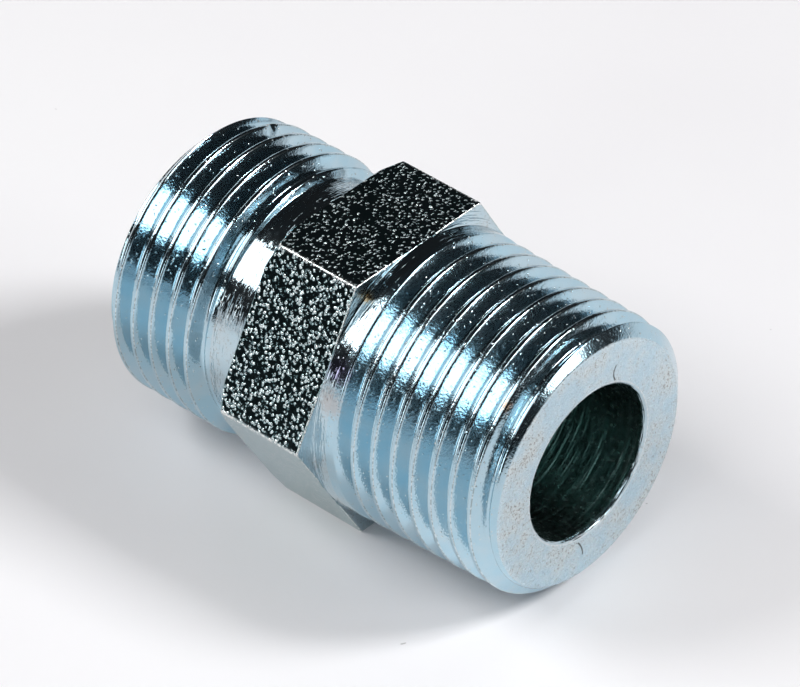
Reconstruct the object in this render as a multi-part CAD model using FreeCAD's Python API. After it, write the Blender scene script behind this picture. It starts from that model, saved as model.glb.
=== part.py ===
import FreeCAD, Part
import math
import os

# Double nipple: one solid with a tapered thread, a hexagon and a parallel thread.
# X runs along the axis towards the tapered thread, Z is up through a hexagon flat.
# The origin is on the axis, midway through the hexagon. Lengths are in millimetres.

# Hexagon
ACROSS_FLATS = 17.0
HEX_LENGTH = 6.0
HEX_CHAMFER_RADIUS = 9.15
HEX_CHAMFER_ANGLE = math.radians(30.0)

# Whitworth thread form, 19 threads per inch
PITCH = 1.337
THREAD_DEPTH = 0.856
ROOT_WIDTH = 0.223
FLANK_TANGENT = math.tan(math.radians(27.5))

# Tapered thread on the front end
FRONT_LENGTH = 12.0
FRONT_END_RADIUS = 8.115
TAPER = 1.0 / 32.0
FRONT_FACE_RADIUS = 7.25
FRONT_CHAMFER_LENGTH = 0.7
FRONT_PHASE = 4.358

# Parallel thread on the rear end, with a relief groove beside the hexagon
REAR_LENGTH = 10.0
REAR_RADIUS = 8.331
REAR_CHAMFER = 0.8
RELIEF_RADIUS = 7.45
RELIEF_LENGTH = 2.65
RELIEF_SLOPE_LENGTH = 0.55
REAR_PHASE = -8.012

# Through bore
BORE_RADIUS = 4.6
BORE_EDGE_BREAK = 0.22

# Thread cutter: how far it stands outside the crest, and how it leaves the metal
CUTTER_OUTSIDE = 0.1
CUTTER_OVERRUN = 0.78
RUNOUT_START = math.radians(35.0)
RUNOUT_TURN = math.radians(110.0)
RUNOUT_LIFT = 0.97
STEPS_PER_TURN = 48

FRONT_FACE = HEX_LENGTH / 2.0
REAR_FACE = -HEX_LENGTH / 2.0
FRONT_END = FRONT_FACE + FRONT_LENGTH
REAR_END = REAR_FACE - REAR_LENGTH


def turned(profile):
    """Solid of revolution about X from (x, radius) points."""
    points = [FreeCAD.Vector(x, 0.0, radius) for x, radius in profile]
    wire = Part.makePolygon(points + [points[0]])
    return Part.Face(wire).revolve(FreeCAD.Vector(0, 0, 0), FreeCAD.Vector(1, 0, 0), 360.0)


def front_crest(x):
    """Crest radius of the tapered thread at station x."""
    return FRONT_END_RADIUS + (FRONT_END - x) * TAPER


def rear_crest(x):
    """Crest radius of the parallel thread, the same at every station."""
    return REAR_RADIUS


def no_lift(angle):
    """A groove that keeps its full depth."""
    return 0.0


def runout_lift(angle):
    """Lift of the cutter as the tapered thread's groove fades out beside the hexagon."""
    travel = (RUNOUT_START - angle) / RUNOUT_TURN
    return RUNOUT_LIFT * max(0.0, travel) ** 2


def helix_curve(angles, centre, radius, offset):
    """Spline through points on a helix, offset along the axis from the groove's centre."""
    points = []
    for angle in angles:
        reach = radius(angle)
        x = centre(angle) + offset
        points.append(FreeCAD.Vector(x, reach * math.cos(angle), reach * math.sin(angle)))
    curve = Part.BSplineCurve()
    curve.interpolate(Points=points, Parameters=angles)
    return curve


def strip(first, second):
    """Ruled face between two splines that share their knots."""
    surface = Part.BSplineSurface()
    surface.buildFromPolesMultsKnots(
        [first.getPoles(), second.getPoles()], [2, 2], first.getMultiplicities(),
        [0.0, 1.0], first.getKnots(), False, False, 1, first.Degree)
    return surface.toShape()


def groove_turn(phase, crest, lift, first_angle, last_angle):
    """Solid swept by the thread form over one turn or less, with a flat face at each end."""
    step = (last_angle - first_angle) / STEPS_PER_TURN
    angles = [first_angle + step * i for i in range(STEPS_PER_TURN + 1)]

    def centre(angle):
        return phase + PITCH * angle / (2.0 * math.pi)

    def root(angle):
        return crest(centre(angle)) - THREAD_DEPTH + lift(angle)

    def outside(angle):
        return crest(centre(angle)) + CUTTER_OUTSIDE + lift(angle)

    half_root = ROOT_WIDTH / 2.0
    half_outside = half_root + (THREAD_DEPTH + CUTTER_OUTSIDE) * FLANK_TANGENT
    corners = [
        helix_curve(angles, centre, root, -half_root),
        helix_curve(angles, centre, root, half_root),
        helix_curve(angles, centre, outside, half_outside),
        helix_curve(angles, centre, outside, -half_outside),
    ]
    faces = []
    for i in range(4):
        faces.append(strip(corners[i], corners[(i + 1) % 4]))
    for angle in (angles[0], angles[-1]):
        ring = [curve.value(angle) for curve in corners]
        faces.append(Part.Face(Part.makePolygon(ring + [ring[0]])))
    shell = Part.makeShell(faces)
    shell.sewShape()
    solid = Part.makeSolid(shell)
    if solid.Volume < 0:
        solid.reverse()
    return solid


def angle_at(phase, x):
    """Helix angle at which a groove of the given phase has its centre at station x."""
    return (x - phase) / PITCH * 2.0 * math.pi


def groove(phase, crest, lift, first_angle, last_angle):
    """The whole groove as solids of equal length, each one turn or less, end to end."""
    count = int(math.ceil((last_angle - first_angle) / (2.0 * math.pi)))
    length = (last_angle - first_angle) / count
    solids = []
    for i in range(count):
        start = first_angle + length * i
        solids.append(groove_turn(phase, crest, lift, start, start + length))
    return solids


# Turned blank: both threads' outside, the relief groove and the bore in one profile
blank = turned([
    (FRONT_END, BORE_RADIUS + BORE_EDGE_BREAK),
    (FRONT_END, FRONT_FACE_RADIUS),
    (FRONT_END - FRONT_CHAMFER_LENGTH, front_crest(FRONT_END - FRONT_CHAMFER_LENGTH)),
    (FRONT_FACE, front_crest(FRONT_FACE)),
    (REAR_FACE, front_crest(FRONT_FACE)),
    (REAR_FACE, RELIEF_RADIUS),
    (REAR_FACE - RELIEF_LENGTH, RELIEF_RADIUS),
    (REAR_FACE - RELIEF_LENGTH - RELIEF_SLOPE_LENGTH, REAR_RADIUS),
    (REAR_END + REAR_CHAMFER, REAR_RADIUS),
    (REAR_END, REAR_RADIUS - REAR_CHAMFER),
    (REAR_END, BORE_RADIUS + BORE_EDGE_BREAK),
    (REAR_END + BORE_EDGE_BREAK, BORE_RADIUS),
    (FRONT_END - BORE_EDGE_BREAK, BORE_RADIUS),
])

# Hexagon with flats up and down, its rear corners turned back at 30 degrees
corner_radius = ACROSS_FLATS / 2.0 / math.cos(math.pi / 6.0)
corners = []
for i in range(6):
    corner_angle = i * math.pi / 3.0
    corners.append(FreeCAD.Vector(
        REAR_FACE, corner_radius * math.cos(corner_angle), corner_radius * math.sin(corner_angle)))
hexagon = Part.Face(Part.makePolygon(corners + [corners[0]])).extrude(FreeCAD.Vector(HEX_LENGTH, 0, 0))
stock_radius = corner_radius + 1.0
chamfer_reach = (stock_radius - HEX_CHAMFER_RADIUS) * math.tan(HEX_CHAMFER_ANGLE)
hex_envelope = turned([
    (REAR_FACE, BORE_RADIUS + 1.0),
    (REAR_FACE, HEX_CHAMFER_RADIUS),
    (REAR_FACE + chamfer_reach, stock_radius),
    (FRONT_FACE, stock_radius),
    (FRONT_FACE, BORE_RADIUS + 1.0),
])

# The two thread grooves, each right-handed, cut from the blank before the hexagon is added
front_groove = groove(
    FRONT_PHASE, front_crest, runout_lift,
    RUNOUT_START - RUNOUT_TURN, angle_at(FRONT_PHASE, FRONT_END + CUTTER_OVERRUN))
rear_groove = groove(
    REAR_PHASE, rear_crest, no_lift,
    angle_at(REAR_PHASE, REAR_END - CUTTER_OVERRUN),
    angle_at(REAR_PHASE, REAR_FACE - RELIEF_LENGTH + CUTTER_OVERRUN))
threaded = blank.cut(front_groove).cut(rear_groove)

body = threaded.fuse(hexagon.common(hex_envelope)).removeSplitter()
if len(body.Solids) != 1:
    raise RuntimeError("the nipple is not one solid")

os.makedirs("parts", exist_ok=True)
body.Solids[0].exportStep("parts/nipple_body.step")
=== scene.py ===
import math
from dataclasses import dataclass

import bpy
import numpy as np
from mathutils import Matrix, Vector


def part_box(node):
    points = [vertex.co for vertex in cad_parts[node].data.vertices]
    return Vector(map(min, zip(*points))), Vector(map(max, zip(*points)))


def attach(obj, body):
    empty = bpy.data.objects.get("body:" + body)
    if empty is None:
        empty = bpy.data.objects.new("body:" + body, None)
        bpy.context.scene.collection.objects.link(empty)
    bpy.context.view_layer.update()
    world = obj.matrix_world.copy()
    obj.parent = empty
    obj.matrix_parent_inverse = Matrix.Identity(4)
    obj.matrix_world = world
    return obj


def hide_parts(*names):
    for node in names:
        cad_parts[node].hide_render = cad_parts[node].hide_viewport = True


# Double nipple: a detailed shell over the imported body, on a white table.
# Sizes are in millimetres and become metres where a mesh or a place is made.

MM = 0.001
TAU = 2.0 * math.pi

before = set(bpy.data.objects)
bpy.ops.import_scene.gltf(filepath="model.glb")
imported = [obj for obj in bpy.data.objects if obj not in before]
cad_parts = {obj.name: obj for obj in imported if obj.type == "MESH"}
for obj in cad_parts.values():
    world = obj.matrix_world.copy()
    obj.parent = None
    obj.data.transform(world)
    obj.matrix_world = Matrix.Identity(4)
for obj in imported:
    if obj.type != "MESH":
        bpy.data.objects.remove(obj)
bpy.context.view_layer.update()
node_low, node_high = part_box("nipple_body")

# Hexagon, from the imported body's box; its corners are a sector apart, in degrees
HEX_SECTOR = 60.0
FLAT = node_high.z / MM
CORNER = FLAT / math.cos(math.pi / 6.0)
HEX_FRONT = 3.0
HEX_REAR = -3.0
HEX_CHAMFER_RADIUS = 9.15
HEX_CHAMFER_TANGENT = math.tan(math.radians(30.0))
HEX_CORNER_BLEND = 0.007

# Rounding of the hexagon's front edge, smaller where the face beside it is narrow
EDGE_ROUND = 0.09
EDGE_ROUND_SHARE = 0.45
EDGE_ROUND_LEAST = 0.002

# Thread form, 19 threads per inch
PITCH = 1.337
THREAD_DEPTH = 0.856
ROOT_HALF = 0.1115
FLANK_TANGENT = math.tan(math.radians(27.5))
CREST_BLEND = 0.1
ROOT_BLEND = 0.16

# Tapered thread
FRONT_END = node_high.x / MM
FRONT_END_RADIUS = 8.115
TAPER = 1.0 / 32.0
FRONT_FACE_RADIUS = 7.25
FRONT_CHAMFER_LENGTH = 0.7
FRONT_PHASE = 4.358
RUNOUT_START = math.radians(35.0)
RUNOUT_TURN = math.radians(110.0)
RUNOUT_LIFT = 0.97
FRONT_THREAD_START = 3.85
FRONT_THREAD_STOP = FRONT_END - 0.05

# Parallel thread and relief groove
REAR_END = node_low.x / MM
REAR_RADIUS = 8.331
REAR_CHAMFER = 0.8
REAR_PHASE = -8.012
REAR_THREAD_START = REAR_END + 0.04
RELIEF_RADIUS = 7.45
RELIEF_EDGE = -5.65
RELIEF_SLOPE_LENGTH = 0.55
RELIEF_SLOPE = (REAR_RADIUS - RELIEF_RADIUS) / RELIEF_SLOPE_LENGTH

# Rounding where a chamfer or the relief groove's slope meets a crest
CHAMFER_BLEND = 0.1

# Dent in a crest of the parallel thread
DENT_STATION = -11.0
DENT_DEGREES = 65.7
DENT_HALF_LENGTH = 0.12
DENT_HALF_DEGREES = 1.6
DENT_DEPTH = 0.16

# Bore
BORE_RADIUS = 4.6
BORE_EDGE = 0.22

# Columns of the shell, in degrees round the axis, closer together at the hexagon's corners
COLUMN_STEP = 1.5
CORNER_OFFSETS = (-0.8, -0.42, -0.2, 0.2, 0.42, 0.8)

# Rows within one pitch, as distances from the groove's centre. A point nearer an end ring than
# the snap joins it, and spare turns reach past both rings.
ROW_OFFSETS = (0.0, 0.08, 0.13, 0.2, 0.34, 0.49, 0.53, 0.557, 0.585, 0.62)
SNAP = 0.012
SPARE_TURNS = 2

# Rings of the end faces and the bore: steps back and inward at a rim, then radii
FRONT_RIM_STEPS = ((0.012, 0.01), (0.0, 0.05))
FRONT_FACE_RADII = (7.1, 6.6, 6.0, 5.4, 5.05)
BORE_RIM_STEP = 0.04
BORE_EDGE_STEPS = 4
BORE_MARGIN = 0.4
BORE_ROWS = 9
REAR_FACE_RADII = (5.0, 5.5, 6.2, 6.9)
REAR_RIM_STEPS = (0.1, 0.04)

# Rings of the relief groove and the hexagon's rear face
RELIEF_FOOT = 0.08
RELIEF_STATIONS = (-5.4, -5.0, -4.5, -3.9, -3.4)
RELIEF_FILLET = 0.12
RELIEF_FILLET_STEP = 0.03
BACK_FACE_SHARES = (0.3, 0.7)
BACK_RIM_STEP = 0.08
BACK_EDGE_FORWARD = 0.006
BACK_EDGE_INWARD = 0.025

# Rings of the hexagon's turned corners, its flats and its rounded front edge
CORNER_START = 0.03
CORNER_SHARES = (0.06, 0.5, 0.94)
FLAT_MARGINS = (0.05, 0.12)
FLAT_STATIONS = (-2.0, -0.7, 0.7, 2.0)
EDGE_MARGINS = (0.1, 0.015)
EDGE_DEGREES = (0.0, 22.5, 45.0, 67.5, 90.0)

# Rings of the hexagon's front face and the neck
SHOULDER_SHARES = (0.95, 0.65, 0.35)
NECK_FILLET = 0.06
NECK_FILLET_SHARE = 0.3
NECK_STEPS = (0.025, 0.08, 0.3, 0.55)

# Wear: on the bore's front edge, on the hexagon's corners (as shares of their radius), and on
# its front edge, by how far that edge is rounded
BORE_EDGE_WEAR = 0.8
CORNER_WEAR_START = 0.991
CORNER_WEAR_SPAN = 0.004
EDGE_WEAR_START = 0.04
EDGE_WEAR_SPAN = 0.03

# Faces take their finish from these material places
FRONT_THREAD, TURNED, FLATS, BORE, REAR_THREAD, FACE = range(6)

# Colours of the plating and of the marks on it
ZINC_BLUE = (0.40, 0.59, 0.69)
ZINC_PALE = (0.47, 0.61, 0.68)
ZINC_GREY = (0.52, 0.61, 0.65)
ZINC_CREST = (0.62, 0.69, 0.71)
CREST_PIT = (0.30, 0.36, 0.38)
FLAT_DARK = (0.21, 0.34, 0.36)
FLAT_PALE = (0.25, 0.38, 0.40)
PIP_TOP = (0.60, 0.66, 0.67)
FACE_BLUE = (0.48, 0.62, 0.70)
FACE_GREY = (0.60, 0.66, 0.67)
BORE_DARK = (0.24, 0.36, 0.35)
BORE_GREEN = (0.31, 0.43, 0.41)
STAIN = (0.29, 0.29, 0.28)
HAIRLINE = (0.10, 0.11, 0.11)
WORN = (0.84, 0.85, 0.84)

# Noises in the plating: their scales, in waves a millimetre, and the spans of values they fade over
PATCH_SCALE = 0.5
PATCH_SPAN = (0.38, 0.66)
BROKEN_SCALE = 7.0
LUMP_SCALE = 0.9
GRAIN_SPAN = (0.3, 0.7)
GRAIN_SMOOTH = 0.8
GRAIN_ROUGH = 1.3
SPECK_SCALE = 6.0
SPECK_SPAN = (0.84, 0.90)
SPECK_PATCH_SHARE = 0.5
WANDER_SCALE = 0.8
WANDER_STOPS = (0.43, 0.435, 0.44)

# How far the turning lines of a thread shift with the radius
LAY_SKEW = 0.5

# Raised pips: reach in cells, unevenness of the cells, and the heights over which their tops show
PIP_REACH = 0.5
PIP_WOBBLE = 0.8
PIP_WOBBLE_SCALE = 1.5
PIP_TOP_SPAN = (0.05, 0.3)

# Short curved hairlines on the front end face: centre of the curve (y, z), its radius,
# the hairline's middle (y, z) and its reach from there
HAIRLINES = (
    ((2.65, 4.91), 0.75, (1.90, 4.96), 0.55),
    ((-2.07, -6.06), 1.62, (-0.56, -5.49), 0.62),
)

# Fading of a hairline across it, as shares of a width, and along it, as shares of its reach
HAIRLINE_WIDTH = 0.1
HAIRLINE_SPAN = (0.3, 0.6)
HAIRLINE_END_SPAN = (0.85, 1.0)

# Tints left in the plating of the tapered end: station, angle in degrees, reach and colour
TINTS = (
    (3.1, 119.0, 0.8, (0.55, 0.37, 0.13)),
    (3.7, 147.0, 1.5, (0.42, 0.36, 0.62)),
    (3.9, 160.0, 1.5, (0.46, 0.45, 0.45)),
    (13.7, 128.5, 0.7, (0.78, 0.45, 0.24)),
)
TINT_RAGGED = 0.8
TINT_SPAN = (0.6, 1.0)
TINT_STRENGTH = 0.7

# Rub marks by height: 1 is the crest's own level, and the scale is what a millimetre adds or takes
# off. They fade in past the hexagon, by shares of a distance along the axis.
CREST_SCALE = 4.0
CREST_STOPS = ((0.76, 0.0), (0.84, 1.0), (0.94, 1.0), (0.985, 0.1))
CREST_DISTANCE = 10.0
CREST_CLEAR_SPAN = (0.45, 0.5)
CREST_PIT_SPAN = (0.45, 0.54)
CREST_ROUGHNESS = 0.13

# Worn edges
WORN_SPAN = (0.35, 0.6)
WORN_LEAST = 0.3
WORN_ROUGHNESS = 0.3

# Table top, in metres, with faint clouds and specks of dust
TABLE_HALF = 3.0
TABLE_SHADE = (0.90, 0.885, 0.905)
TABLE_LIGHT = (0.93, 0.92, 0.935)
TABLE_ROUGHNESS = 0.6
CLOUD_SCALE = 30.0
CLOUD_SPAN = (0.3, 0.7)
DUST = (0.35, 0.33, 0.33)
DUST_SCALE = 420.0
DUST_SHARE = 0.3
DUST_REACH = 0.05
DUST_SPAN = (0.1, 0.14)
DUST_STRENGTH = 0.6

# Room: pale walls up to a height, then dark, by the direction's height above the table
WALL_LOW = (0.80, 0.82, 0.85)
WALL_HIGH = (0.75, 0.78, 0.82)
ROOM_DARK = (0.014, 0.015, 0.016)
WALL_TOP = 0.15
DARK_START = 0.17
ROOM_TILT = 0.047
DARK_SIDE_START = 0.1
DARK_SIDE_RISE = 0.35

# Camera fitted to the photograph: place in millimetres, directions, film and lens, clipping in metres
CAMERA_PLACE = (158.79, -169.62, 187.48)
CAMERA_RIGHT = (0.7396, 0.6730, -0.0117)
CAMERA_LOOK = (-0.5293, 0.5708, -0.6277)
CAMERA_FILM = 36.0
CAMERA_LENS = 247.5
CAMERA_NEAR = 0.01
CAMERA_FAR = 20.0


def column_angles():
    """Angles of the shell's columns round the axis, from +Y towards +Z."""
    degrees = list(np.arange(0.0, 360.0, COLUMN_STEP))
    for corner in np.arange(0.0, 360.0, HEX_SECTOR):
        degrees += [(corner + offset) % 360.0 for offset in CORNER_OFFSETS]
    return np.radians(np.array(sorted(degrees)))


ANGLES = column_angles()
COLUMNS = len(ANGLES)


def smooth_min(first, second, reach):
    """Lesser of two heights, rounded where they come within reach of each other."""
    overlap = np.maximum(reach - np.abs(first - second), 0.0) / reach
    return np.minimum(first, second) - overlap ** 2 * reach / 4.0


def front_crest(x):
    """Crest radius of the tapered thread at station x."""
    return FRONT_END_RADIUS + (FRONT_END - x) * TAPER


def groove_floor(x, angle, phase, crest, lift):
    """Radius of the thread groove's own surface, rounded at its root."""
    turn = (x - phase) / PITCH - angle / TAU
    nearest = np.round(turn)
    helix = nearest * TAU + angle
    centre = phase + PITCH * helix / TAU
    aside = np.abs(turn - nearest) * PITCH
    flank = (aside - ROOT_HALF) / FLANK_TANGENT
    flank = -smooth_min(-flank, 0.0, ROOT_BLEND)
    return crest(centre) - THREAD_DEPTH + lift(helix) + flank


def runout_lift(helix):
    """How far the tapered thread's groove has risen out of the metal."""
    travel = np.maximum(RUNOUT_START - helix, 0.0) / RUNOUT_TURN
    return RUNOUT_LIFT * travel ** 2


def dent(x, angle):
    """Depth of the dent in the parallel thread at station x and angle."""
    across = (x - DENT_STATION) / DENT_HALF_LENGTH
    turn = (np.degrees(angle) - DENT_DEGREES + 180.0) % 360.0 - 180.0
    return DENT_DEPTH * np.exp(-(across ** 2 + (turn / DENT_HALF_DEGREES) ** 2))


def front_surface(x, angle):
    """Radius of the tapered end at station x and angle."""
    rise = front_crest(FRONT_END - FRONT_CHAMFER_LENGTH) - FRONT_FACE_RADIUS
    chamfer = FRONT_FACE_RADIUS + (FRONT_END - x) * rise / FRONT_CHAMFER_LENGTH
    outside = smooth_min(front_crest(x), chamfer, CHAMFER_BLEND)
    groove = groove_floor(x, angle, FRONT_PHASE, front_crest, runout_lift)
    return smooth_min(outside, groove, CREST_BLEND)


def rear_surface(x, angle):
    """Radius of the parallel end at station x and angle."""
    chamfer = REAR_RADIUS - REAR_CHAMFER + (x - REAR_END)
    relief = RELIEF_RADIUS + (RELIEF_EDGE - x) * RELIEF_SLOPE
    outside = smooth_min(np.minimum(chamfer, REAR_RADIUS), relief, CHAMFER_BLEND)
    groove = groove_floor(x, angle, REAR_PHASE, lambda centre: REAR_RADIUS, lambda helix: 0.0)
    return smooth_min(outside, groove, CREST_BLEND) - dent(x, angle)


def hexagon_radius(angle):
    """Radius of the hexagon at an angle, rounded at its corners."""
    half = HEX_SECTOR / 2.0
    aside = (np.degrees(angle) + half) % HEX_SECTOR - half
    near = np.cos(np.radians(half - np.abs(aside)))
    far = np.cos(np.radians(half + np.abs(aside)))
    reach = -smooth_min(-near, -far, HEX_CORNER_BLEND)
    return FLAT / reach


class Shell:
    """Points and faces of a surface built from rings round the axis."""

    def __init__(self):
        self.points = []
        self.wear = []
        self.faces = []
        self.places = []

    def add_points(self, x, radius, angle, wear=0.0):
        """Adds points in cylindrical terms, with how worn each is, and returns their numbers."""
        first = len(self.points)
        for px, pr, pa in zip(x, radius, angle):
            self.points.append((px, pr * math.cos(pa), pr * math.sin(pa)))
        self.wear.extend(np.broadcast_to(wear, (len(x),)))
        return np.arange(first, len(self.points))

    def ring(self, x, radius, wear=0.0):
        """A closed ring, with one point in each column; x, radius and wear may vary by column."""
        stations = np.broadcast_to(x, (COLUMNS,))
        radii = np.broadcast_to(radius, (COLUMNS,))
        numbers = self.add_points(stations, radii, ANGLES, wear)
        return np.append(numbers, numbers[0])

    def skin(self, first, second, place):
        """Faces between two neighbouring rows, leaving out those with no area."""
        for column in range(COLUMNS):
            corners = (first[column], second[column], second[column + 1], first[column + 1])
            kept = []
            for number in corners:
                if number not in kept:
                    kept.append(int(number))
            if len(kept) > 2:
                self.faces.append(kept)
                self.places.append(place)

    def lathe(self, rows, place):
        """Skins a list of rows one after another and returns the last one."""
        for first, second in zip(rows, rows[1:]):
            self.skin(first, second, place)
        return rows[-1]

    def thread(self, low_ring, high_ring, low, high, phase, surface, place):
        """Rows that follow the helix between two rings at stations low and high."""
        offsets = sorted({sign * offset for offset in ROW_OFFSETS for sign in (-1.0, 1.0)})
        offsets.append(PITCH / 2.0)
        per_pitch = len(offsets)
        first_turn = math.floor((low - phase) / PITCH) - SPARE_TURNS
        last_turn = math.ceil((high - phase) / PITCH) + SPARE_TURNS
        rows = []
        for turn in range(first_turn, last_turn + 1):
            for offset in offsets:
                x = phase + PITCH * turn + offset + PITCH * ANGLES / TAU
                # Points past either ring are the ring's own
                row = np.where(x >= high - SNAP, high_ring[:-1], low_ring[:-1])
                inside = (x > low + SNAP) & (x < high - SNAP)
                if inside.any():
                    own_x, own_angle = x[inside], ANGLES[inside]
                    row[inside] = self.add_points(own_x, surface(own_x, own_angle), own_angle)
                rows.append(row)
        # After a full turn each row runs into the one a pitch further on
        closed = []
        for number in range(len(rows) - per_pitch):
            closed.append(np.append(rows[number], rows[number + per_pitch][0]))
        self.lathe(closed, place)

    def mesh(self, name):
        """Blender mesh in metres, shaded smooth, with each face's material and each point's wear."""
        made = bpy.data.meshes.new(name)
        scaled = [(x * MM, y * MM, z * MM) for x, y, z in self.points]
        made.from_pydata(scaled, [], self.faces)
        made.polygons.foreach_set("use_smooth", [True] * len(self.faces))
        made.polygons.foreach_set("material_index", self.places)
        worn = made.attributes.new("wear", "FLOAT", "POINT")
        worn.data.foreach_set("value", [float(value) for value in self.wear])
        made.update()
        return made


def bore_edge(centre, start, stop):
    """Quarter-round points (x, radius) of a bore edge from one angle to another, in degrees."""
    made = []
    for step in range(BORE_EDGE_STEPS + 1):
        turn = math.radians(start + (stop - start) * step / BORE_EDGE_STEPS)
        made.append((centre + BORE_EDGE * math.cos(turn),
                     BORE_RADIUS + BORE_EDGE + BORE_EDGE * math.sin(turn)))
    return made


def build_front_face(shell, outer_ring):
    """Front end face, from its rounded rim to the bore's edge."""
    rows = [outer_ring]
    for back, inward in FRONT_RIM_STEPS:
        rows.append(shell.ring(FRONT_END - back, FRONT_FACE_RADIUS - inward))
    for radius in FRONT_FACE_RADII:
        rows.append(shell.ring(FRONT_END, radius))
    rows.append(shell.ring(FRONT_END, BORE_RADIUS + BORE_EDGE + BORE_RIM_STEP))
    return shell.lathe(rows, FACE)


def build_bore(shell, face_ring):
    """Bore with both its broken edges, from front to rear; its outermost ring in front is worn."""
    rows = [face_ring]
    wear = BORE_EDGE_WEAR
    for x, radius in bore_edge(FRONT_END - BORE_EDGE, 0.0, -90.0):
        rows.append(shell.ring(x, radius, wear))
        wear = 0.0
    rows = [shell.lathe(rows, TURNED)]
    for x in np.linspace(FRONT_END - BORE_MARGIN, REAR_END + BORE_MARGIN, BORE_ROWS):
        rows.append(shell.ring(x, BORE_RADIUS))
    for x, radius in bore_edge(REAR_END + BORE_EDGE, 270.0, 180.0):
        rows.append(shell.ring(x, radius))
    return shell.lathe(rows, BORE)


def build_rear_face(shell, bore_ring):
    """Rear end face, from the bore's edge to the start of the chamfer."""
    rows = [bore_ring]
    for radius in REAR_FACE_RADII:
        rows.append(shell.ring(REAR_END, radius))
    for inward in REAR_RIM_STEPS:
        rows.append(shell.ring(REAR_END, REAR_RADIUS - REAR_CHAMFER - inward))
    rows.append(shell.ring(REAR_THREAD_START, rear_surface(REAR_THREAD_START, ANGLES)))
    return shell.lathe(rows, FACE)


def build_relief(shell, slope_ring, back_edge):
    """Floor of the relief groove and the hexagon's rear face, nearly out to its edge."""
    rows = [slope_ring]
    for x in (RELIEF_EDGE + RELIEF_FOOT, *RELIEF_STATIONS, HEX_REAR - RELIEF_FILLET):
        rows.append(shell.ring(x, RELIEF_RADIUS))
    rows.append(shell.ring(HEX_REAR - RELIEF_FILLET_STEP, RELIEF_RADIUS + RELIEF_FILLET_STEP))
    rows.append(shell.ring(HEX_REAR, RELIEF_RADIUS + RELIEF_FILLET))
    for share in BACK_FACE_SHARES:
        rows.append(shell.ring(HEX_REAR, RELIEF_RADIUS + (back_edge - RELIEF_RADIUS) * share))
    rows.append(shell.ring(HEX_REAR, back_edge - BACK_RIM_STEP))
    return shell.lathe(rows, TURNED)


def build_hexagon(shell, back_ring, hexagon, back_edge, edge_round):
    """Corners turned back at the hexagon's rear, its flats, and its rounded front edge."""
    over = hexagon - back_edge
    rows = [back_ring]
    rows.append(shell.ring(HEX_REAR + BACK_EDGE_FORWARD, back_edge - BACK_EDGE_INWARD))
    for share in CORNER_SHARES:
        rows.append(shell.ring(HEX_REAR + CORNER_START + over * HEX_CHAMFER_TANGENT * share,
                               back_edge + over * share))
    rows = [shell.lathe(rows, TURNED)]

    corner_wear = (hexagon - CORNER * CORNER_WEAR_START) / (CORNER * CORNER_WEAR_SPAN)
    corner_wear = np.clip(corner_wear, 0.0, 1.0)
    for margin in FLAT_MARGINS:
        rows.append(shell.ring(HEX_REAR + over * HEX_CHAMFER_TANGENT + margin, hexagon, corner_wear))
    for x in FLAT_STATIONS:
        rows.append(shell.ring(x, hexagon, corner_wear))
    for margin in EDGE_MARGINS:
        rows.append(shell.ring(HEX_FRONT - edge_round - margin, hexagon, corner_wear))
    edge_wear = np.clip((edge_round - EDGE_WEAR_START) / EDGE_WEAR_SPAN, 0.0, 1.0)
    for degrees in EDGE_DEGREES:
        turn = math.radians(degrees)
        rows.append(shell.ring(
            HEX_FRONT - edge_round * (1.0 - math.sin(turn)),
            hexagon - edge_round * (1.0 - math.cos(turn)),
            np.maximum(edge_wear * math.sin(2.0 * turn), corner_wear)))
    return shell.lathe(rows, FLATS)


def build_neck(shell, edge_ring, inner, neck):
    """Front face of the hexagon, then the neck up to the tapered thread."""
    rows = [edge_ring]
    for share in SHOULDER_SHARES:
        rows.append(shell.ring(HEX_FRONT, neck + (inner - neck) * share))
    fillet = np.minimum(NECK_FILLET, NECK_FILLET_SHARE * (inner - neck))
    inset = fillet * NECK_FILLET_SHARE
    rows.append(shell.ring(HEX_FRONT, neck + fillet))
    rows.append(shell.ring(HEX_FRONT + inset, neck + inset))
    for step in NECK_STEPS:
        rows.append(shell.ring(HEX_FRONT + step, front_crest(HEX_FRONT + step)))
    rows.append(shell.ring(FRONT_THREAD_START, front_surface(FRONT_THREAD_START, ANGLES)))
    return shell.lathe(rows, TURNED)


def add_object(name, data):
    """New object in the scene for a mesh, a lamp or a camera."""
    made = bpy.data.objects.new(name, data)
    bpy.context.scene.collection.objects.link(made)
    return made


def build_nipple():
    """The whole nipple as one closed shell, in through the bore and back over the outside."""
    shell = Shell()
    front_ring = shell.ring(FRONT_THREAD_STOP, front_surface(FRONT_THREAD_STOP, ANGLES))
    face_ring = build_front_face(shell, front_ring)
    bore_ring = build_bore(shell, face_ring)
    rear_ring = build_rear_face(shell, bore_ring)
    slope_ring = shell.ring(RELIEF_EDGE, rear_surface(RELIEF_EDGE, ANGLES))
    shell.thread(rear_ring, slope_ring, REAR_THREAD_START, RELIEF_EDGE,
                 REAR_PHASE, rear_surface, REAR_THREAD)

    hexagon = hexagon_radius(ANGLES)
    back_edge = np.minimum(hexagon, HEX_CHAMFER_RADIUS)
    neck = front_crest(HEX_FRONT)
    edge_round = np.minimum(EDGE_ROUND, EDGE_ROUND_SHARE * (hexagon - neck) + EDGE_ROUND_LEAST)
    back_ring = build_relief(shell, slope_ring, back_edge)
    edge_ring = build_hexagon(shell, back_ring, hexagon, back_edge, edge_round)
    neck_ring = build_neck(shell, edge_ring, hexagon - edge_round, neck)
    shell.thread(neck_ring, front_ring, FRONT_THREAD_START, FRONT_THREAD_STOP,
                 FRONT_PHASE, front_surface, FRONT_THREAD)
    return add_object("nipple_skin", shell.mesh("nipple_skin"))


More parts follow.
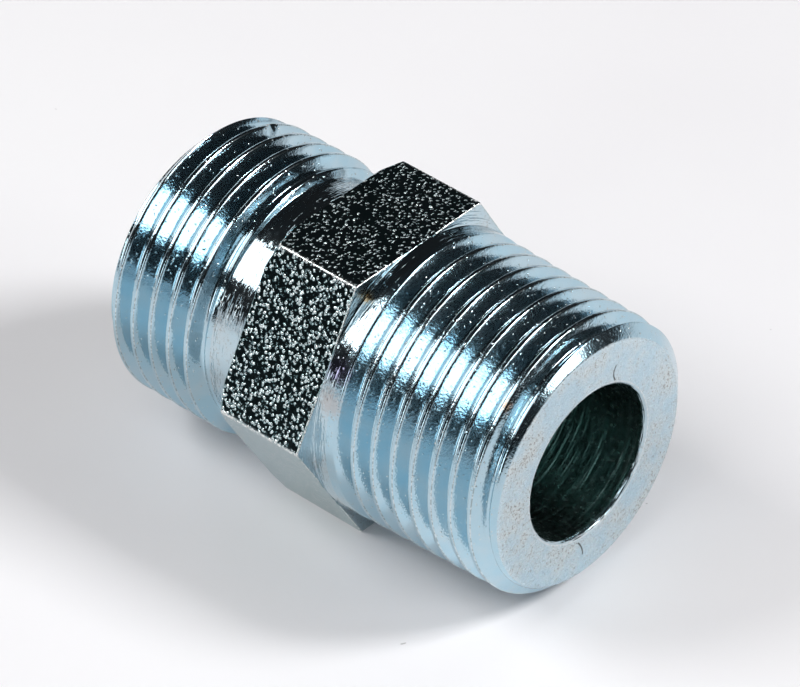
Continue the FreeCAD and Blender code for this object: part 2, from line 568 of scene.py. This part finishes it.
class Nodes:
    """Short calls for building one node tree."""

    def __init__(self, tree):
        self.tree = tree
        tree.nodes.clear()

    def add(self, kind, **settings):
        """New node of a kind, with its own settings."""
        made = self.tree.nodes.new(kind)
        for name, value in settings.items():
            setattr(made, name, value)
        return made

    def join(self, source, target):
        """Link from an output to an input."""
        self.tree.links.new(source, target)

    def math(self, operation, first, second=None, third=None):
        """Maths node from sockets or plain numbers."""
        made = self.add("ShaderNodeMath", operation=operation)
        for socket, value in zip(made.inputs, (first, second, third)):
            if value is None:
                continue
            if isinstance(value, (int, float)):
                socket.default_value = value
            else:
                self.join(value, socket)
        return made.outputs[0]

    def noise(self, vector, scale, detail=1.0, roughness=0.5, output="Fac"):
        """Soft noise in space, as a value or as a colour."""
        made = self.add("ShaderNodeTexNoise", noise_dimensions="3D")
        made.inputs["Scale"].default_value = scale
        made.inputs["Detail"].default_value = detail
        made.inputs["Roughness"].default_value = roughness
        self.join(vector, made.inputs["Vector"])
        return made.outputs[output]

    def pips(self, vector, scale, share, reach=PIP_REACH):
        """Small uneven bumps, up to 1 high, in a share of the cells; a share over 1 evens them out."""
        moved = self.add("ShaderNodeVectorMath", operation="MULTIPLY_ADD")
        self.join(self.noise(vector, scale * PIP_WOBBLE_SCALE, output="Color"), moved.inputs[0])
        moved.inputs[1].default_value = (PIP_WOBBLE / scale,) * 3
        self.join(vector, moved.inputs[2])
        cells = self.add("ShaderNodeTexVoronoi", feature="F1")
        cells.inputs["Scale"].default_value = scale
        self.join(moved.outputs[0], cells.inputs["Vector"])
        away = self.math("MULTIPLY", cells.outputs["Distance"], 1.0 / reach)
        inside = self.math("SUBTRACT", 1.0, self.math("MULTIPLY", away, away))
        inside = self.math("MAXIMUM", inside, 0.0)
        dome = self.math("MULTIPLY", inside, inside)
        parts = self.add("ShaderNodeSeparateColor")
        self.join(cells.outputs["Color"], parts.inputs[0])
        tall = self.math("MULTIPLY_ADD", parts.outputs[0], 1.0 / share, 1.0 - 1.0 / share)
        return self.math("MULTIPLY", dome, self.math("MAXIMUM", tall, 0.0))

    def distance(self, vector, point):
        """Distance of a position from a fixed point."""
        made = self.add("ShaderNodeVectorMath", operation="DISTANCE")
        self.join(vector, made.inputs[0])
        made.inputs[1].default_value = point
        return made.outputs["Value"]

    def ramp(self, value, stops):
        """Colour ramp from (place, grey or colour) stops."""
        made = self.add("ShaderNodeValToRGB")
        elements = made.color_ramp.elements
        # A new ramp has two stops; more are added between them and placed below
        while len(elements) < len(stops):
            elements.new(0.5)
        for element, (place, shade) in zip(elements, stops):
            element.position = place
            colour = shade if isinstance(shade, tuple) else (shade, shade, shade)
            element.color = colour + (1.0,)
        self.join(value, made.inputs["Fac"])
        return made.outputs["Color"]

    def fade(self, value, span, first, second):
        """Ramp from one grey or colour to another over a span of values."""
        start, stop = span
        return self.ramp(value, [(start, first), (stop, second)])

    def mix(self, share, first, second):
        """Blend of two colours, each a socket or three plain numbers."""
        made = self.add("ShaderNodeMix", data_type="RGBA")
        self.join(share, made.inputs["Factor"])
        for socket, value in ((made.inputs[6], first), (made.inputs[7], second)):
            if isinstance(value, tuple):
                socket.default_value = value + (1.0,)
            else:
                self.join(value, socket)
        return made.outputs[2]

    def bump(self, height, depth_mm, below=None):
        """Bump of a depth in millimetres, on top of another bump."""
        made = self.add("ShaderNodeBump")
        made.inputs["Distance"].default_value = depth_mm * MM
        self.join(height, made.inputs["Height"])
        if below is not None:
            self.join(below, made.inputs["Normal"])
        return made.outputs["Normal"]


def new_material(name):
    """New material, with its nodes and its shader."""
    material = bpy.data.materials.new(name)
    material.use_nodes = True
    nodes = Nodes(material.node_tree)
    out = nodes.add("ShaderNodeOutputMaterial")
    shader = nodes.add("ShaderNodeBsdfPrincipled")
    nodes.join(shader.outputs[0], out.inputs["Surface"])
    return material, nodes, shader


@dataclass
class Finish:
    """What sets one zone's plating apart from another's.

    Depths are in millimetres, and scales in cells or waves a millimetre. The lay is how the
    turning lines run. The crest is a thread's crest radius at station zero, and its taper.
    """

    colours: tuple = (ZINC_BLUE, ZINC_PALE)
    roughness: float = 0.1
    grain_scale: float = 3.5
    grain_depth: float = 0.005
    lay: str = "ring"
    lay_across: float = 5.0
    lay_along: float = 0.5
    lay_depth: float = 0.0
    lump_depth: float = 0.0
    pip_scale: float = 7.0
    pip_share: float = 0.1
    pip_depth: float = 0.0
    pip_roughness: float = 0.13
    crest: tuple = None
    stains: float = 0.0
    tinted: bool = False
    hairlines: tuple = ()


def tool_lines(nodes, finish, x, y, z, radius):
    """Fine lines left by the tool: along the helix, or round the axis."""
    if finish.lay == "helix":
        angle = nodes.math("ARCTAN2", y, nodes.math("MULTIPLY", z, -1.0))
        across = nodes.math("SUBTRACT", x, nodes.math("MULTIPLY", angle, PITCH / TAU))
        across = nodes.math("ADD", across, nodes.math("MULTIPLY", radius, LAY_SKEW))
    else:
        across = nodes.math("ADD", x, radius)
    stretched = nodes.add("ShaderNodeCombineXYZ")
    scales = (finish.lay_across, finish.lay_along, finish.lay_along)
    for value, scale, socket in zip((across, y, z), scales, stretched.inputs):
        nodes.join(nodes.math("MULTIPLY", value, scale), socket)
    return nodes.noise(stretched.outputs[0], 1.0)


def add_stains(nodes, finish, position, patches, colour):
    """Small grey specks and thin wandering lines over a colour."""
    specks = nodes.noise(position, SPECK_SCALE, detail=3.0, roughness=0.7)
    specks = nodes.math("MULTIPLY_ADD", patches, SPECK_PATCH_SHARE, specks)
    colour = nodes.mix(nodes.fade(specks, SPECK_SPAN, 0.0, finish.stains), colour, STAIN)
    wander = nodes.noise(position, WANDER_SCALE, detail=3.0, roughness=0.55)
    line = nodes.ramp(wander, list(zip(WANDER_STOPS, (0.0, finish.stains, 0.0))))
    return nodes.mix(line, colour, STAIN)


def add_hairline(nodes, position, colour, hairline):
    """One short dark curved line on the front end face, over a colour."""
    centre, bow, middle, reach = hairline
    aside = nodes.math("SUBTRACT", nodes.distance(position, (FRONT_END, *centre)), bow)
    aside = nodes.math("MULTIPLY", nodes.math("ABSOLUTE", aside), 1.0 / HAIRLINE_WIDTH)
    along = nodes.math("MULTIPLY", nodes.distance(position, (FRONT_END, *middle)), 1.0 / reach)
    line = nodes.math("MULTIPLY", nodes.fade(aside, HAIRLINE_SPAN, 1.0, 0.0),
                      nodes.fade(along, HAIRLINE_END_SPAN, 1.0, 0.0))
    return nodes.mix(line, colour, HAIRLINE)


def add_tint(nodes, position, broken, colour, tint):
    """One ragged patch of another tint on the tapered end, over a colour."""
    station, degrees, reach, tinge = tint
    turn = math.radians(degrees)
    spread = front_crest(station)
    away = nodes.distance(position, (station, spread * math.cos(turn), spread * math.sin(turn)))
    away = nodes.math("MULTIPLY", away, 1.0 / reach)
    away = nodes.math("MULTIPLY_ADD", broken, TINT_RAGGED, away)
    return nodes.mix(nodes.fade(away, TINT_SPAN, TINT_STRENGTH, 0.0), colour, tinge)


def crest_marks(nodes, crest, x, radius):
    """Where a thread's crests are rubbed: on their edges, away from the hexagon."""
    zero_radius, slope = crest
    level = nodes.math("SUBTRACT", radius, zero_radius)
    level = nodes.math("ADD", level, nodes.math("MULTIPLY", x, slope))
    rubbed = nodes.ramp(nodes.math("MULTIPLY_ADD", level, CREST_SCALE, 1.0), CREST_STOPS)
    clear = nodes.math("MULTIPLY", nodes.math("ABSOLUTE", x), 1.0 / CREST_DISTANCE)
    return nodes.math("MULTIPLY", rubbed, nodes.fade(clear, CREST_CLEAR_SPAN, 0.0, 1.0))


def zinc(name, finish):
    """Blue-passivated zinc plating with the lumps, turning lines, grain and marks of one finish."""
    material, nodes, shader = new_material(name)
    shader.inputs["Metallic"].default_value = 1.0

    # Position in millimetres, and distance from the axis
    sized = nodes.add("ShaderNodeVectorMath", operation="SCALE")
    sized.inputs["Scale"].default_value = 1.0 / MM
    nodes.join(nodes.add("ShaderNodeTexCoord").outputs["Object"], sized.inputs[0])
    position = sized.outputs[0]
    parts = nodes.add("ShaderNodeSeparateXYZ")
    nodes.join(position, parts.inputs[0])
    x, y, z = parts.outputs
    radius = nodes.math("SQRT", nodes.math(
        "ADD", nodes.math("MULTIPLY", y, y), nodes.math("MULTIPLY", z, z)))

    lines = tool_lines(nodes, finish, x, y, z, radius)
    lumps = nodes.noise(position, LUMP_SCALE, detail=2.0)
    grain = nodes.noise(position, finish.grain_scale)
    broken = nodes.noise(position, BROKEN_SCALE)
    patches = nodes.noise(position, PATCH_SCALE, detail=3.0, roughness=0.6)
    colour = nodes.fade(patches, PATCH_SPAN, *finish.colours)
    rough = nodes.fade(grain, GRAIN_SPAN, finish.roughness * GRAIN_SMOOTH,
                       finish.roughness * GRAIN_ROUGH)

    normal = None
    for height, depth in ((lumps, finish.lump_depth), (lines, finish.lay_depth),
                          (grain, finish.grain_depth)):
        if depth > 0.0:
            normal = nodes.bump(height, depth, normal)
    if finish.pip_depth > 0.0:
        pips = nodes.pips(position, finish.pip_scale, finish.pip_share)
        normal = nodes.bump(pips, finish.pip_depth, normal)
        tops = nodes.fade(pips, PIP_TOP_SPAN, 0.0, 1.0)
        rough = nodes.mix(tops, rough, (finish.pip_roughness,) * 3)
        colour = nodes.mix(tops, colour, PIP_TOP)
    nodes.join(normal, shader.inputs["Normal"])

    if finish.stains > 0.0:
        colour = add_stains(nodes, finish, position, patches, colour)
    for hairline in finish.hairlines:
        colour = add_hairline(nodes, position, colour, hairline)
    if finish.tinted:
        for tint in TINTS:
            colour = add_tint(nodes, position, broken, colour, tint)
    if finish.crest is not None:
        # The rubbed crests are greyer, with dark pits
        rubbed = crest_marks(nodes, finish.crest, x, radius)
        colour = nodes.mix(rubbed, colour, nodes.fade(broken, CREST_PIT_SPAN, CREST_PIT, ZINC_CREST))
        rough = nodes.mix(rubbed, rough, (CREST_ROUGHNESS,) * 3)

    # Sharp edges are worn bright in a broken line
    worn = nodes.add("ShaderNodeAttribute", attribute_name="wear").outputs["Fac"]
    worn = nodes.math("MULTIPLY", worn, nodes.fade(broken, WORN_SPAN, WORN_LEAST, 1.0))
    colour = nodes.mix(worn, colour, WORN)
    rough = nodes.mix(worn, rough, (WORN_ROUGHNESS,) * 3)
    nodes.join(colour, shader.inputs["Base Color"])
    nodes.join(rough, shader.inputs["Roughness"])
    return material


def dress(body):
    """Gives the shell its finishes, in the order of the material places."""
    front_thread = Finish(roughness=0.14, grain_scale=8.0, grain_depth=0.009, lay="helix",
                          lay_depth=0.012, lump_depth=0.02, pip_share=0.12, pip_depth=0.02,
                          crest=(front_crest(0.0), TAPER), tinted=True)
    turned = Finish(colours=(ZINC_PALE, ZINC_GREY), grain_depth=0.006, lay_across=8.0,
                    lay_along=0.9, lay_depth=0.045, lump_depth=0.02, pip_share=0.06,
                    pip_depth=0.02, stains=0.5, tinted=True)
    flats = Finish(colours=(FLAT_DARK, FLAT_PALE), roughness=0.06, grain_scale=2.6,
                   grain_depth=0.003, pip_scale=4.4, pip_share=1.6, pip_depth=0.039,
                   pip_roughness=0.08)
    bore = Finish(colours=(BORE_DARK, BORE_GREEN), roughness=0.22, grain_depth=0.001,
                  lay_across=4.0, lay_along=0.3, lay_depth=0.09, lump_depth=0.005)
    rear_thread = Finish(grain_scale=8.0, lay="helix", lay_depth=0.01, lump_depth=0.015,
                         pip_depth=0.02, crest=(REAR_RADIUS, 0.0))
    face = Finish(colours=(FACE_BLUE, FACE_GREY), roughness=0.25, grain_scale=5.0,
                  grain_depth=0.008, lay_depth=0.008, lump_depth=0.03, stains=0.9,
                  hairlines=HAIRLINES)
    named = (("zinc_tapered_thread", front_thread), ("zinc_turned", turned),
             ("zinc_flats", flats), ("zinc_bore", bore), ("zinc_parallel_thread", rear_thread),
             ("zinc_end_face", face))
    for name, finish in named:
        body.data.materials.append(zinc(name, finish))


def make_floor():
    """White table top under the part."""
    level = node_low.z
    made = bpy.data.meshes.new("table_top")
    corners = [(-TABLE_HALF, -TABLE_HALF, level), (TABLE_HALF, -TABLE_HALF, level),
               (TABLE_HALF, TABLE_HALF, level), (-TABLE_HALF, TABLE_HALF, level)]
    made.from_pydata(corners, [], [(0, 1, 2, 3)])
    floor = add_object("table_top", made)
    material, nodes, shader = new_material("table_white")
    place = nodes.add("ShaderNodeTexCoord").outputs["Object"]
    cloud = nodes.noise(place, CLOUD_SCALE, detail=3.0)
    colour = nodes.fade(cloud, CLOUD_SPAN, TABLE_SHADE, TABLE_LIGHT)
    specks = nodes.pips(place, DUST_SCALE, DUST_SHARE, DUST_REACH)
    dust = nodes.fade(specks, DUST_SPAN, 0.0, DUST_STRENGTH)
    nodes.join(nodes.mix(dust, colour, DUST), shader.inputs["Base Color"])
    shader.inputs["Roughness"].default_value = TABLE_ROUGHNESS
    made.materials.append(material)


def placement(right, up, back, place):
    """Placement of a lamp or a camera, which look away from their back."""
    return Matrix((
        (right.x, up.x, back.x, place.x),
        (right.y, up.y, back.y, place.y),
        (right.z, up.z, back.z, place.z),
        (0.0, 0.0, 0.0, 1.0)))


def soft_light(name, direction, distance, width, length, power, along=(1.0, 0.0, 0.0)):
    """Rectangular lamp aimed at the part, in metres and watts; its length runs nearly along a line."""
    data = bpy.data.lights.new(name, "AREA")
    data.shape = "RECTANGLE"
    data.size = length
    data.size_y = width
    data.energy = power
    back = Vector(direction).normalized()
    side = Vector(along) - back * back.dot(Vector(along))
    side.normalize()
    lamp = add_object(name, data)
    lamp.matrix_world = placement(side, back.cross(side), back, back * distance)


def light_scene():
    """Soft lamps on every side of the part, the strongest on the far side of its front end."""
    soft_light("strip_lamp", direction=(-0.575, -0.455, 0.68), distance=0.434,
               width=0.235, length=0.17, power=0.86)
    soft_light("strip_edge", direction=(-0.575, -0.565, 0.58), distance=0.434,
               width=0.07, length=0.17, power=0.03)
    soft_light("top_lamp", direction=(0.1, -0.545, 0.83), distance=0.38,
               width=0.2, length=0.36, power=0.37)
    soft_light("near_lamp", direction=(0.05, -0.96, 0.27), distance=0.5,
               width=0.16, length=0.24, power=0.29)
    soft_light("end_lamp", direction=(0.85, 0.32, 0.41), distance=0.5,
               width=0.14, length=0.2, power=0.4, along=(0.0, 1.0, 0.0))
    soft_light("back_lamp", direction=(0.61, 0.46, 0.64), distance=0.5,
               width=0.12, length=0.12, power=1.7)
    soft_light("far_lamp", direction=(-0.83, 0.37, 0.28), distance=0.5,
               width=0.1, length=0.36, power=0.25, along=(-0.2, -0.8, 0.55))


def make_room():
    """Dim room whose pale walls reach a little higher on the far side and miss the front end."""
    world = bpy.data.worlds.new("room")
    bpy.context.scene.world = world
    world.use_nodes = True
    nodes = Nodes(world.node_tree)
    out = nodes.add("ShaderNodeOutputWorld")
    shade = nodes.add("ShaderNodeBackground")
    nodes.join(shade.outputs[0], out.inputs["Surface"])
    parts = nodes.add("ShaderNodeSeparateXYZ")
    nodes.join(nodes.add("ShaderNodeTexCoord").outputs["Generated"], parts.inputs[0])
    x, y, z = parts.outputs
    height = nodes.math("SUBTRACT", z, nodes.math("MULTIPLY", y, ROOM_TILT))
    away = nodes.math("MAXIMUM", nodes.math("SUBTRACT", x, DARK_SIDE_START), 0.0)
    height = nodes.math("MULTIPLY_ADD", away, DARK_SIDE_RISE, height)
    room = nodes.ramp(height, [(0.0, WALL_LOW), (WALL_TOP, WALL_HIGH), (DARK_START, ROOM_DARK)])
    nodes.join(room, shade.inputs["Color"])


def make_camera():
    """Camera at the photograph's place, looking along its own line of sight."""
    forward = Vector(CAMERA_LOOK).normalized()
    right = Vector(CAMERA_RIGHT)
    right = (right - forward * right.dot(forward)).normalized()
    data = bpy.data.cameras.new("photo_camera")
    data.sensor_width = CAMERA_FILM
    data.lens = CAMERA_LENS
    data.clip_start = CAMERA_NEAR
    data.clip_end = CAMERA_FAR
    camera = add_object("photo_camera", data)
    place = Vector(CAMERA_PLACE) * MM
    camera.matrix_world = placement(right, right.cross(forward), -forward, place)
    bpy.context.scene.camera = camera


make_camera()
nipple = build_nipple()
dress(nipple)
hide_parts("nipple_body")
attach(nipple, "root")
make_floor()
light_scene()
make_room()
bpy.context.scene.view_settings.view_transform = "Standard"
